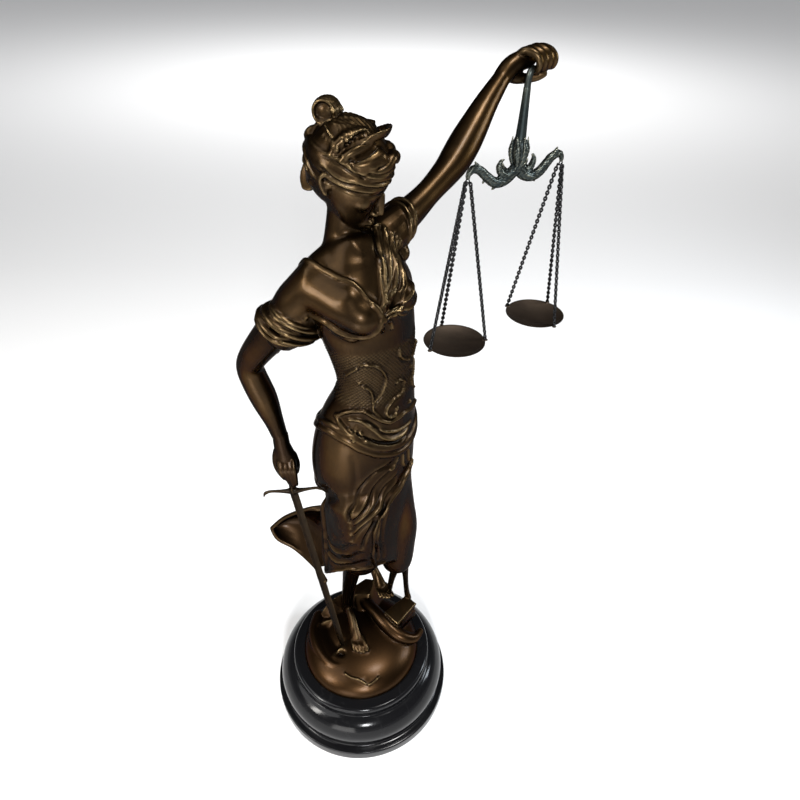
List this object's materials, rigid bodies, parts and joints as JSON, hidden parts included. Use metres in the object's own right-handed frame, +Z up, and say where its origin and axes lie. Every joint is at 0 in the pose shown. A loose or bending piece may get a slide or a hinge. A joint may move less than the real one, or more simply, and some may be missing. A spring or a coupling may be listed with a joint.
{
  "type": "lady justice statue",
  "caption": "Cast bronze standing blindfolded justice figure with sword and hanging scales on a turned round black marble base.",
  "frame": {"origin": "centre of the round base's flat underside", "axes": "+Z up; the figure faces -Y with the scales in the left hand towards +X and the sword in the right hand towards -X"},
  "size_m": [0.353, 0.183, 0.6018],
  "materials": {
    "bronze": "dark brown bronze patina, rubbed lighter on the high spots",
    "gunmetal": "blue-grey gunmetal patina",
    "pan_bronze": "dull dark brown patina",
    "chain_metal": "dark metal wire, worn bright on the edges",
    "marble": "polished black marble"
  },
  "bodies": {
    "root": {"bronze_figure": "bronze", "marble_base": "marble", "sword": "bronze", "scales_beam": "gunmetal", "pan_left": "pan_bronze", "pan_right": "pan_bronze", "chain_ring_left": "chain_metal", "chain_ring_right": "chain_metal", "chain_left_1": "chain_metal", "chain_left_2": "chain_metal", "chain_left_3": "chain_metal", "chain_right_1": "chain_metal", "chain_right_2": "chain_metal", "chain_right_3": "chain_metal"}
  },
  "joints": []
}
